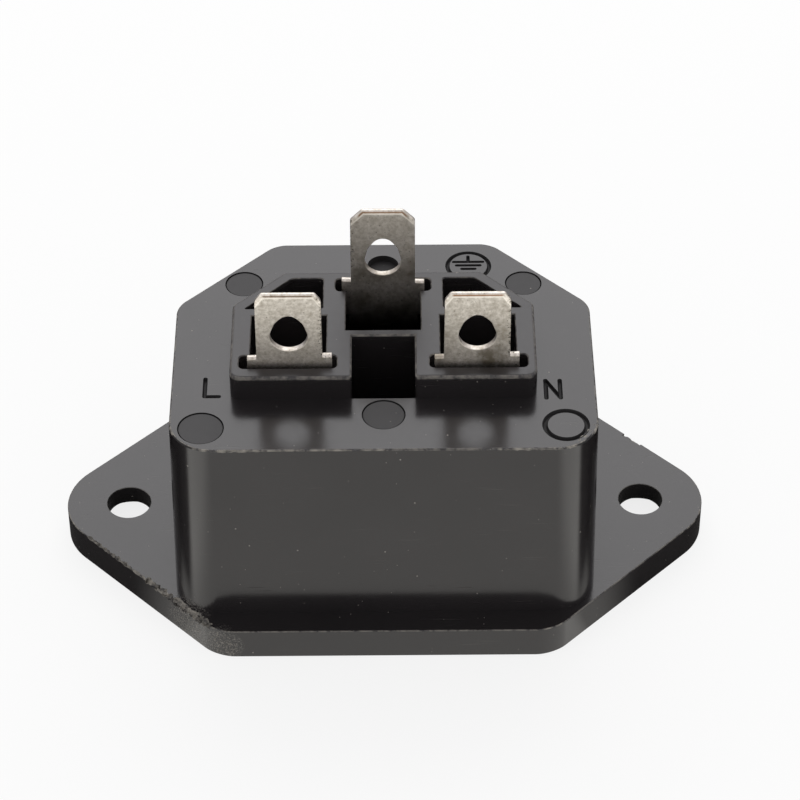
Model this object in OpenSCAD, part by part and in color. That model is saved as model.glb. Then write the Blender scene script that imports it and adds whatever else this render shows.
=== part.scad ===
// Panel outlet of the C13 pattern: a flanged moulding with three blade contacts.
// Origin: centre of the flange's front face. +Z runs to the rear, where the blades stand.
// +Y is the side with the cut corners and the earth contact.

/* [Flange] */
// Distance between the two screw holes
hole_pitch = 40; // [38:0.5:44]
// Diameter of a screw hole
hole_d = 3.4; // [3:0.1:3.6]
// Diameter of the countersink at the front face
sink_d = 5.8; // [5:0.1:6.4]
// Radius of the rounded flange tips, about the screw holes
tip_r = 4.8; // [4.2:0.1:5.5]
// Depth of the flange from its -Y edge to its +Y edge
flange_d = 28.2; // [27:0.1:30]
// Thickness of the flange
flange_t = 2.7; // [2.2:0.1:3.4]

/* [Shroud] */
// Width of the shroud
shroud_w = 31.5; // [31:0.1:32]
// Shroud wall towards -Y, from the screw line
shroud_front = 11.95; // [11.8:0.05:12.4]
// Shroud wall towards +Y, from the screw line
shroud_rear = 11.75; // [11.6:0.05:12.4]
// Height of the shroud's closed end above the panel face
shroud_h = 19.1; // [18:0.1:22]
// Size of the two cut corners
shroud_cut = 7.45; // [6.8:0.05:7.8]

/* [Moat and core] */
// Width of the recess that takes the plug's shell
moat_w = 29.9; // [29.6:0.1:30]
// Width of the core inside the recess
core_w = 22.2; // [22:0.1:22.6]
// Depth of the core from its -Y face to its +Y face
core_d = 14.9; // [14.8:0.1:15.2]
// Size of the core's two cut corners
core_cut = 5.3; // [5:0.1:5.5]
// Thickness of the closed end behind the recess
rear_t = 2.2; // [1.8:0.1:2.6]

/* [Contacts] */
// Distance between the line and neutral pins
pin_pitch = 14; // [13.9:0.05:14.1]
// Distance between the earth pin and the line of the other two
pin_offset = 4; // [3.9:0.05:4.1]
// Distance between the line and neutral blades, which sit a little inboard
blade_pitch = 13.7; // [13.6:0.05:14]
// Width of a blade
blade_w = 4.8; // [4.6:0.1:4.8]
// Thickness of the contact sheet
sheet_t = 0.5; // [0.4:0.05:0.6]
// Height of the line and neutral blades above the rear block
blade_h = 6.65; // [6:0.05:8]
// Extra height of the earth blade
earth_extra = 0.8; // [0:0.05:1.2]

/* [Hidden] */
$fn = 64;
eps = 0.01;

// Corner radii in plan
flange_r = 4;
shroud_r = 3.2;
shroud_cut_r = 2;
moat_r = 3.6;
moat_cut_r = 1.5;
core_r = 2.4;
core_cut_r = 0.6;
block_r = 0.8;
block_cut_r = 0.5;

// Recess: its end walls, the inset of its cut corners and the bevel at its mouth
end_wall = 1;
moat_cut = shroud_cut - 0.56;
mouth_bevel = 0.3;
mouth_depth = 0.4;
core_recess = 0.3;

// Rear block that carries the blades
block_h = 2.1;
block_w = 22.5;
block_front = -6.3;
block_rear = 5.75;
block_cut = 3.8;
block_z = shroud_h + block_h;

// Chambers behind the pin slots, and the wider seats for the contacts' shoulders
chamber_w = 5.6;
chamber_d = 5.95;
seat_w = 7.2;
seat_d = 1.45;
seat_depth = 2.5;
seat_r = 0.4;
front_wall = 2.5;
line_back = -5.25;
earth_back = 4.95;
pin_slot = [2.4, 5.6];
lead_in = 0.3;

// Coring that keeps the block's walls even
core_floor = 3;
notch_w = 4.66;
notch_rear = -1.63;
pocket_x = 4.5;
pocket_y = [1.5, 5];
pocket_sum = 11.9;

// Moulding marks on the closed end, each [x, y, radius]
ejectors = [[-10.6, 6.9, 1.45], [10.7, 6.8, 1.4], [-13.2, -9.4, 1.65], [0, -8.05, 1.6]];
ejector_depth = 0.15;
core_pin = [13.3, -9.35, 1.75];
gate = [0, 9, 1.25];
gate_depth = 0.5;

// Engraved terminal marks
mark_depth = 0.15;
mark_t = 0.32;
mark_fine = 0.22;
line_mark = [-12.6, -5];
neutral_mark = [12.45, -5.4];
earth_mark = [6.55, 8.88];
earth_mark_r = 1.67;
letter_w = 1;
letter_h = 1.7;

// Contact sheet: shoulders, web, folded channel and jaws
sheet_gap = 0.3;
earth_gap = 0.8;
shoulder_w = 6.2;
shoulder_h = 0.7;
web_w = 5.2;
fold_r = 0.8;
jaw_d = 4.4;
channel_z = [9.5, 14.5];
jaw_tip_z = 4.2;
jaw_grip_z = 6.4;
jaw_grip = 0.8;
jaw_mouth = 1.35;

// Blade: hole that narrows upwards, cut tip corners and eased tip edges, each [across, up]
hole_low_r = 1.35;
hole_top_r = 0.8;
hole_z = 2.75;
hole_rise = 1.1;
earth_hole_rise = 1.3;
tip_cut = [0.5, 0.75];
earth_tip_cut = [0.87, 0.92];
tip_bevel = [0.08, 0.25];

// Tongue that keeps the contact in, and the window it is cut from
tang_w = 1.2;
tang_z = [15.4, 17.5];
tang_lean = 0.27;
window_w = 1.5;
window_z = [15.4, 17.8];

// ---- plan outlines with rounded corners, each corner [x, y, radius] ----
function unit(v) = v / norm(v);
function half_angle(a, b, c) = acos(unit(a - b) * unit(c - b)) / 2;
function xy(p) = [p[0], p[1]];
function at(list, i) = list[(i + len(list)) % len(list)];
function setback(a, b, c, r) = r / tan(half_angle(a, b, c));
function centre(a, b, c, r) = b + unit(unit(a - b) + unit(c - b)) * r / sin(half_angle(a, b, c));

// The straight sides end at the rounds' tangent points, and a disc fills each round.
module rounded_outline(corners) {
    last = len(corners) - 1;
    polygon([for (i = [0 : last]) for (side = [-1, 1])
        let (a = xy(at(corners, i - 1)), b = xy(corners[i]), c = xy(at(corners, i + 1)), r = corners[i][2])
        b + unit((side < 0 ? a : c) - b) * setback(a, b, c, r)]);
    for (i = [0 : last])
        let (a = xy(at(corners, i - 1)), b = xy(corners[i]), c = xy(at(corners, i + 1)), r = corners[i][2])
        translate(centre(a, b, c, r)) circle(r);
}

// A block with two corners cut at 45 degrees on its +Y side
function cut_block(w, front, rear, cut, r_front, r_cut) = [
    [-w / 2, front, r_front], [w / 2, front, r_front],
    [w / 2, rear - cut, r_cut], [w / 2 - cut, rear, r_cut],
    [cut - w / 2, rear, r_cut], [-w / 2, rear - cut, r_cut]];

// Six-sided flange: its slants run at 45 degrees and touch the tip rounds
function flange_corners() =
    let (reach = hole_pitch / 2 + tip_r * sqrt(2), y = flange_d / 2, x = reach - y)
    [[reach, 0, tip_r], [x, y, flange_r], [-x, y, flange_r],
     [-reach, 0, tip_r], [-x, -y, flange_r], [x, -y, flange_r]];

function shroud_corners() =
    cut_block(shroud_w, -shroud_front, shroud_rear, shroud_cut, shroud_r, shroud_cut_r);
function moat_corners(grow) =
    cut_block(moat_w + 2 * grow, end_wall - shroud_front - grow, shroud_rear - end_wall + grow,
        moat_cut + grow * (2 - sqrt(2)), moat_r + grow, moat_cut_r + grow);
function core_corners() = cut_block(core_w, -core_d / 2, core_d / 2, core_cut, core_r, core_cut_r);
function block_corners() = cut_block(block_w, block_front, block_rear, block_cut, block_r, block_cut_r);

// ---- housing ----
module screw_hole() {
    translate([0, 0, -1]) cylinder(d = hole_d, h = flange_t + 2);
    translate([0, 0, -eps]) cylinder(d1 = sink_d + 2 * eps, d2 = hole_d, h = (sink_d - hole_d) / 2 + eps);
}

module moat() {
    translate([0, 0, -eps]) linear_extrude(shroud_h - rear_t + eps) rounded_outline(moat_corners(0));
    translate([0, 0, -eps]) linear_extrude(mouth_depth) rounded_outline(moat_corners(mouth_bevel));
}

module core() {
    translate([0, 0, core_recess]) linear_extrude(shroud_h - rear_t / 2 - core_recess)
        rounded_outline(core_corners());
}

module pin_opening() {
    translate([-pin_slot[0] / 2, -pin_slot[1] / 2, -1]) cube([pin_slot[0], pin_slot[1], 2 * front_wall]);
    rim = [pin_slot[0] + 2 * lead_in, pin_slot[1] + 2 * lead_in, core_recess + lead_in + 1];
    translate([-rim[0] / 2, -rim[1] / 2, -1]) cube(rim);
}

// Chamber and shoulder seat, drawn for a contact whose back wall is at y = 0
module contact_space() {
    translate([-chamber_w / 2, 0, front_wall]) cube([chamber_w, chamber_d, block_z]);
    translate([0, 0, block_z - seat_depth]) linear_extrude(seat_depth + 1)
        rounded_outline([for (p = [[-1, 0], [1, 0], [1, 1], [-1, 1]])
            [p[0] * seat_w / 2, p[1] * seat_d, seat_r]]);
}

module coring() {
    height = block_z - core_floor + 1;
    translate([-notch_w / 2, block_front, core_floor]) cube([notch_w, notch_rear - block_front, height]);
    translate([-notch_w / 2, block_front - 1, shroud_h]) cube([notch_w, 2, block_h + 1]);
    for (side = [0, 1]) mirror([side, 0, 0]) translate([0, 0, core_floor]) linear_extrude(height)
            polygon([[pocket_x, pocket_y[0]], [pocket_sum - pocket_y[0], pocket_y[0]],
                [pocket_sum - pocket_y[1], pocket_y[1]], [pocket_x, pocket_y[1]]]);
}

module ring_groove(r, width) {
    difference() {
        translate([0, 0, -mark_depth]) cylinder(r = r, h = 1);
        translate([0, 0, -1]) cylinder(r = r - width, h = 3);
    }
}

// Ejector pins' discs, one core pin's ring and the gate
module moulding_marks() {
    for (e = ejectors) translate([e[0], e[1], shroud_h - ejector_depth]) cylinder(r = e[2], h = 1);
    translate([core_pin[0], core_pin[1], shroud_h]) ring_groove(core_pin[2], mark_t);
    translate([gate[0], gate[1], shroud_h - gate_depth]) cylinder(r = gate[2], h = 1);
}

// A cut along one line, with round ends
module stroke(a, b, width) {
    run = b - a;
    translate([a[0], a[1], -mark_depth]) rotate([0, 0, atan2(run[1], run[0])]) {
        translate([0, -width / 2, 0]) cube([norm(run), width, 1]);
        cylinder(d = width, h = 1);
        translate([norm(run), 0, 0]) cylinder(d = width, h = 1);
    }
}

module letter_l() {
    corner = [-letter_w / 2, -letter_h / 2];
    stroke(corner, corner + [0, letter_h], mark_t);
    stroke(corner, corner + [letter_w, 0], mark_t);
}

module letter_n() {
    for (x = [-1, 1] * letter_w / 2) stroke([x, -letter_h / 2], [x, letter_h / 2], mark_t);
    stroke([-letter_w, letter_h] / 2, [letter_w, -letter_h] / 2, mark_t);
}

// Protective earth: a stem and three bars, each shorter than the last, in a ring
module earth_symbol() {
    bar_y = 0.12;
    bar_step = 0.42;
    bar_w = [1.1, 0.76, 0.42];
    ring_groove(earth_mark_r, mark_fine);
    stroke([0, bar_y], [0, 1.1], mark_fine);
    for (i = [0 : 2])
        let (y = bar_y - i * bar_step) stroke([-bar_w[i], y], [bar_w[i], y], mark_fine);
}

module terminal_marks() {
    translate([line_mark[0], line_mark[1], shroud_h]) letter_l();
    translate([neutral_mark[0], neutral_mark[1], shroud_h]) letter_n();
    translate([earth_mark[0], earth_mark[1], shroud_h]) earth_symbol();
}

// Flange, hollow shroud, core and rear block, before the contacts' spaces are cut
module housing_body() {
    difference() {
        union() {
            linear_extrude(flange_t) rounded_outline(flange_corners());
            linear_extrude(shroud_h) rounded_outline(shroud_corners());
        }
        moat();
    }
    core();
    translate([0, 0, shroud_h - rear_t / 2]) linear_extrude(block_h + rear_t / 2)
        rounded_outline(block_corners());
}

module housing() color("#2b2a2c") {
    difference() {
        housing_body();
        for (side = [-1, 1]) {
            translate([side * hole_pitch / 2, 0, 0]) screw_hole();
            translate([side * pin_pitch / 2, -pin_offset / 2, 0]) pin_opening();
            translate([side * pin_pitch / 2, line_back, 0]) contact_space();
        }
        translate([0, pin_offset / 2, 0]) pin_opening();
        translate([0, earth_back, 0]) rotate(180) contact_space();
        coring();
        moulding_marks();
        terminal_marks();
    }
}

// ---- contacts: one sheet each, blade up, back face at y = 0, jaws towards +Y ----
// Extrudes an outline drawn in Y and Z along X, centred on X = 0
module turn_to_side(width) {
    translate([-width / 2, 0, 0]) rotate([90, 0, 90]) linear_extrude(width) children();
}

// Two circles joined by their tangents
module blade_hole(rise) {
    lean = asin((hole_low_r - hole_top_r) / rise);
    circle(hole_low_r);
    translate([0, rise]) circle(hole_top_r);
    low = hole_low_r * [cos(lean), sin(lean)];
    top = [0, rise] + hole_top_r * [cos(lean), sin(lean)];
    polygon([low, top, [-top[0], top[1]], [-low[0], low[1]]]);
}

// Blade, shoulders and web as one flat outline with its hole and the tongue's window
module blade_outline(top, cut, rise) {
    w = blade_w / 2;
    difference() {
        union() {
            polygon([[-w, block_z], [w, block_z], [w, top - cut[1]], [w - cut[0], top],
                [cut[0] - w, top], [-w, top - cut[1]]]);
            translate([-shoulder_w / 2, block_z - seat_depth])
                square([shoulder_w, seat_depth + shoulder_h]);
            translate([-web_w / 2, channel_z[1] - 1]) square([web_w, block_z - channel_z[1]]);
        }
        translate([0, block_z + hole_z]) blade_hole(rise);
        translate([-window_w / 2, window_z[0]]) square([window_w, window_z[1] - window_z[0]]);
    }
}

// The sheet's section from its side: the tip is bevelled on both faces
module sheet_section(top) {
    polygon([[0, 0], [sheet_t, 0], [sheet_t, top - tip_bevel[1]], [sheet_t - tip_bevel[0], top],
        [tip_bevel[0], top], [0, top - tip_bevel[1]]]);
}

// A tongue cut from the web leans out against the seat's wall and keeps the contact in
module tang() {
    turn_to_side(tang_w) polygon([[0, tang_z[0]], [sheet_t, tang_z[0]],
        [sheet_t - tang_lean, tang_z[1]], [-tang_lean, tang_z[1]]]);
}

// Folded channel that joins the web to the two jaw leaves
module channel_outline() {
    half_w = web_w / 2;
    difference() {
        union() {
            translate([-half_w, fold_r]) square([web_w, jaw_d - fold_r]);
            translate([fold_r - half_w, 0]) square([web_w - 2 * fold_r, fold_r + eps]);
            for (side = [-1, 1]) translate([side * (half_w - fold_r), fold_r]) circle(fold_r);
        }
        translate([sheet_t - half_w, fold_r]) square([web_w - 2 * sheet_t, jaw_d]);
        translate([fold_r - half_w, sheet_t]) square([web_w - 2 * fold_r, jaw_d]);
        for (side = [-1, 1]) translate([side * (half_w - fold_r), fold_r]) circle(fold_r - sheet_t);
    }
}

// One jaw leaf from the side: it leans in to grip the pin, then flares to guide it
module leaf_profile() {
    x = web_w / 2;
    polygon([[x - sheet_t, channel_z[0]], [jaw_grip, jaw_grip_z], [jaw_mouth, jaw_tip_z],
        [jaw_mouth + sheet_t, jaw_tip_z], [jaw_grip + sheet_t, jaw_grip_z], [x, channel_z[0]]]);
}

module contact(top, cut, rise) {
    intersection() {
        translate([0, sheet_t, 0]) rotate([90, 0, 0]) linear_extrude(sheet_t)
            blade_outline(top, cut, rise);
        turn_to_side(2 * shoulder_w) sheet_section(top);
    }
    tang();
    translate([0, 0, channel_z[0]]) linear_extrude(channel_z[1] - channel_z[0]) channel_outline();
    for (side = [0, 1]) mirror([side, 0, 0])
        translate([0, jaw_d, 0]) rotate([90, 0, 0]) linear_extrude(jaw_d - fold_r) leaf_profile();
}

module line_contact() color("#b9b2a6")
    translate([-blade_pitch / 2, line_back + sheet_gap, 0]) contact(block_z + blade_h, tip_cut, hole_rise);
module neutral_contact() color("#b9b2a6")
    translate([blade_pitch / 2, line_back + sheet_gap, 0]) contact(block_z + blade_h, tip_cut, hole_rise);
module earth_contact() color("#a8a195")
    translate([0, earth_back - earth_gap, 0]) rotate(180)
        contact(block_z + blade_h + earth_extra, earth_tip_cut, earth_hole_rise);

housing();
line_contact();
neutral_contact();
earth_contact();
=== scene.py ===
import math
import random

import bmesh
import bpy
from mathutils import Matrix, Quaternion, Vector


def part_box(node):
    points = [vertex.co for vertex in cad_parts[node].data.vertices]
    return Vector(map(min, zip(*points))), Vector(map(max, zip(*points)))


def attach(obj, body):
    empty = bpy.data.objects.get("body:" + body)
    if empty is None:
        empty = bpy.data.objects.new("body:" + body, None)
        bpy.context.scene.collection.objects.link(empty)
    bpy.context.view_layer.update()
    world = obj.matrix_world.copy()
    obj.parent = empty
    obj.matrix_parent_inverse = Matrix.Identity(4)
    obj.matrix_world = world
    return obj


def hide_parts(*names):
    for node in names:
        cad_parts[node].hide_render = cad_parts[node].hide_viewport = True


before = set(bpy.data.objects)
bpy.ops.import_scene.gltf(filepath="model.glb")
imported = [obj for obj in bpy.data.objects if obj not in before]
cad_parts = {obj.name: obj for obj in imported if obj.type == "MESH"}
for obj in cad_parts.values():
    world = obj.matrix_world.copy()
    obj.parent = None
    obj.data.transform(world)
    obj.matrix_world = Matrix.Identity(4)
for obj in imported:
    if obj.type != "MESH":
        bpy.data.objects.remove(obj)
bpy.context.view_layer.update()        # the imported CAD meshes, set in world place
perMetre = 1000          # pieces are modelled in millimetres and shrunk into the frame at the end


def nodeBox(node):       # a CAD node's lowest and highest corners, in millimetres
    return [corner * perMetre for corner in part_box(node)]


# ---- camera ----

cameraView = dict(azimuth=-0.217, elevation=41.937, roll=-0.245,  # degrees; azimuth 0 looks along +Y
                  target=(0.00124, 0.00365, 0.010), distance=0.23948,
                  lens=138.889, sensor=36)


def placeCamera():
    v = cameraView
    az, el = math.radians(v["azimuth"]), math.radians(v["elevation"])
    ahead = Vector((-math.sin(az) * math.cos(el), math.cos(az) * math.cos(el), -math.sin(el)))
    bpy.ops.object.camera_add(location=Vector(v["target"]) - ahead * v["distance"])
    camera = bpy.context.object
    camera.rotation_mode = "QUATERNION"
    roll = Quaternion((0, 0, 1), math.radians(v["roll"]))
    camera.rotation_quaternion = ahead.to_track_quat("-Z", "Y") @ roll
    camera.data.sensor_width = v["sensor"]
    camera.data.lens = v["lens"]
    camera.data.clip_start, camera.data.clip_end = 0.01, 20
    bpy.context.scene.camera = camera


# ---- materials ----

def linear(code):        # sRGB hex to a linear colour
    parts = [int(code[i:i + 2], 16) / 255 for i in (1, 3, 5)]
    return [p / 12.92 if p <= 0.04045 else ((p + 0.055) / 1.055) ** 2.4 for p in parts] + [1]


def addNode(material, kind, settings=(), inputs=()):
    node = material.node_tree.nodes.new("ShaderNode" + kind)
    for name, value in dict(settings).items():
        setattr(node, name, value)
    for name, value in dict(inputs).items():
        if isinstance(value, bpy.types.NodeSocket):
            material.node_tree.links.new(value, node.inputs[name])
        else:
            node.inputs[name].default_value = value
    return node


def newMaterial(name):
    material = bpy.data.materials.new(name)
    material.use_nodes = True
    material.node_tree.nodes.clear()
    return material


plasticLook = dict(
    dark="#1b191a", light="#272425", dust="#8d8882", worn="#8b867e", grooveShade="#0b0a0a",
    gloss=0.2, plateauGloss=0.36, wornRoughness=0.6, grooveRoughness=0.75,
    cloud=0.16, mottle=1.7, grain=8, dustSpacing=0.9, fineDust=2.3, scratch=(0.22, 5.5, 5.5),   # per mm
    peel=0.45, peelHeight=0.004, grainHeight=0.0012, tornHeight=0.05,                              # per mm, mm
    scuffs=(((-14.9, -11.8, 1.3), 2.4, 0.75), ((-12.2, -13.9, 1.2), 1.7, 1)),       # where the flange took knocks, in mm
)


def mouldedPlastic():    # injection-moulded black PBT: glossy and near-black, so it shows the white room as grey;
    # a faint orange peel bends that, dust and hairlines break it, and chafed or torn edges are paler and dull
    p = plasticLook
    m = newMaterial("mouldedBlackPbt")
    place = addNode(m, "TexCoord").outputs["Object"]
    place = addNode(m, "VectorMath", {"operation": "SCALE"}, {0: place, "Scale": perMetre}).outputs[0]
    height = addNode(m, "SeparateXYZ", {}, {0: place}).outputs["Z"]
    cloud = addNode(m, "TexNoise", {}, {"Vector": place, "Scale": p["cloud"], "Detail": 3}).outputs[0]
    mottle = addNode(m, "TexNoise", {}, {"Vector": place, "Scale": p["mottle"], "Detail": 6, "Roughness": 0.65}).outputs[0]
    grain = addNode(m, "TexNoise", {}, {"Vector": place, "Scale": p["grain"], "Detail": 3}).outputs[0]
    worn = addNode(m, "Attribute", {"attribute_name": "worn"}).outputs["Fac"]
    grooveShade = addNode(m, "Attribute", {"attribute_name": "grooveShade"}).outputs["Fac"]

    dust = None          # pale specks: the middles of a few cells of two scattered patterns
    for scale, size, share in ((p["dustSpacing"], 0.07, 0.22), (p["fineDust"], 0.09, 0.14)):
        cells = addNode(m, "TexVoronoi", {}, {"Vector": place, "Scale": scale})
        speck = addNode(m, "MapRange", {}, {"Value": cells.outputs["Distance"], "From Min": size * 0.5, "From Max": size,
                                            "To Min": 1, "To Max": 0}).outputs[0]
        few = addNode(m, "SeparateColor", {}, {0: cells.outputs["Color"]}).outputs[0]
        few = addNode(m, "Math", {"operation": "LESS_THAN"}, {0: few, 1: share}).outputs[0]
        speck = addNode(m, "Math", {"operation": "MULTIPLY"}, {0: speck, 1: few}).outputs[0]
        dust = speck if dust is None else addNode(m, "Math", {"operation": "MAXIMUM"}, {0: dust, 1: speck}).outputs[0]
    hair = None          # hairline scratches two ways, in patches
    for turn in (0.5, -1.1):
        along = addNode(m, "Mapping", {}, {"Vector": place, "Rotation": (0.3, 0.2, turn), "Scale": p["scratch"]}).outputs[0]
        line = addNode(m, "TexNoise", {}, {"Vector": along, "Scale": 1, "Detail": 2}).outputs[0]
        line = addNode(m, "MapRange", {}, {"Value": line, "From Min": 0.68, "From Max": 0.76}).outputs[0]
        hair = line if hair is None else addNode(m, "Math", {"operation": "MAXIMUM"}, {0: hair, 1: line}).outputs[0]
    patch = addNode(m, "MapRange", {}, {"Value": cloud, "From Min": 0.45, "From Max": 0.6}).outputs[0]
    hair = addNode(m, "Math", {"operation": "MULTIPLY"}, {0: hair, 1: patch}).outputs[0]
    broken = addNode(m, "MapRange", {}, {"Value": mottle, "From Min": 0.4, "From Max": 0.6}).outputs[0]
    torn = addNode(m, "Math", {"operation": "MULTIPLY"}, {0: worn, 1: broken}).outputs[0]
    crumbs = addNode(m, "MapRange", {}, {"Value": grain, "From Min": 0.48, "From Max": 0.66}).outputs[0]
    for centre, reach, strength in p["scuffs"]:
        near = addNode(m, "VectorMath", {"operation": "DISTANCE"}, {0: place, 1: centre}).outputs["Value"]
        near = addNode(m, "MapRange", {}, {"Value": near, "From Min": reach * 0.5, "From Max": reach, "To Min": strength,
                                           "To Max": 0}).outputs[0]
        near = addNode(m, "Math", {"operation": "MULTIPLY"}, {0: near, 1: crumbs}).outputs[0]
        torn = addNode(m, "Math", {"operation": "MAXIMUM"}, {0: torn, 1: near}).outputs[0]

    colour = addNode(m, "Mix", {"data_type": "RGBA"}, {0: cloud, 6: linear(p["dark"]), 7: linear(p["light"])}).outputs[2]
    # painted shade: engraved marks, ejector discs and the hollows just below the closed end are darkened near to black
    for share, code in ((grooveShade, p["grooveShade"]), (torn, p["worn"])):
        colour = addNode(m, "Mix", {"data_type": "RGBA"}, {0: share, 6: colour, 7: linear(code)}).outputs[2]
    pale = addNode(m, "Math", {"operation": "MULTIPLY_ADD", "use_clamp": True}, {0: hair, 1: 0.05, 2: dust}).outputs[0]
    colour = addNode(m, "Mix", {"data_type": "RGBA"}, {0: pale, 6: colour, 7: linear(p["dust"])}).outputs[2]
    rough = addNode(m, "MapRange", {"interpolation_type": "SMOOTHSTEP"},
                    {"Value": height, "From Min": 20.6, "From Max": 21.1, "To Min": p["gloss"], "To Max": p["plateauGloss"]}).outputs[0]
    rough = addNode(m, "Math", {"operation": "MULTIPLY_ADD"}, {0: mottle, 1: 0.12, 2: rough}).outputs[0]
    rough = addNode(m, "Math", {"operation": "SUBTRACT"}, {0: rough, 1: 0.06}).outputs[0]
    for share, level in ((pale, p["wornRoughness"]), (torn, p["wornRoughness"]), (grooveShade, p["grooveRoughness"])):
        rough = addNode(m, "Mix", {}, {0: share, 2: rough, 3: level}).outputs[0]
    peel = addNode(m, "TexNoise", {}, {"Vector": place, "Scale": p["peel"], "Detail": 2}).outputs[0]
    relief = addNode(m, "Math", {"operation": "MULTIPLY"}, {0: peel, 1: p["peelHeight"]}).outputs[0]
    for part, size in ((grain, p["grainHeight"]), (hair, -0.004), (torn, p["tornHeight"])):
        relief = addNode(m, "Math", {"operation": "MULTIPLY_ADD"}, {0: part, 1: size, 2: relief}).outputs[0]
    bump = addNode(m, "Bump", {}, {"Height": relief, "Distance": 1 / perMetre}).outputs[0]
    shader = addNode(m, "BsdfPrincipled", {}, {"Base Color": colour, "Roughness": rough, "IOR": 1.5, "Normal": bump})
    addNode(m, "OutputMaterial", {}, {"Surface": shader.outputs[0]})
    return m


metalLook = dict(
    light="#dfdad2", dull="#aaa397", stain="#857d6f", steel="#514a41", brass="#86603f", pit="#3a352e",
    ridgeHighlight="#ece7de", deep="#26231f",
    grain=2.8, stainSize=0.5, pitSize=6.5, roughness=0.34, grainRoughness=0.2, relief=0.007,      # per mm, mm
    leadIn=(0.1, 0.22), ridge=(0.24, 0.34), bare=1.8, chamberShadeFrom=(17.4, 20.8),
)


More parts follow.
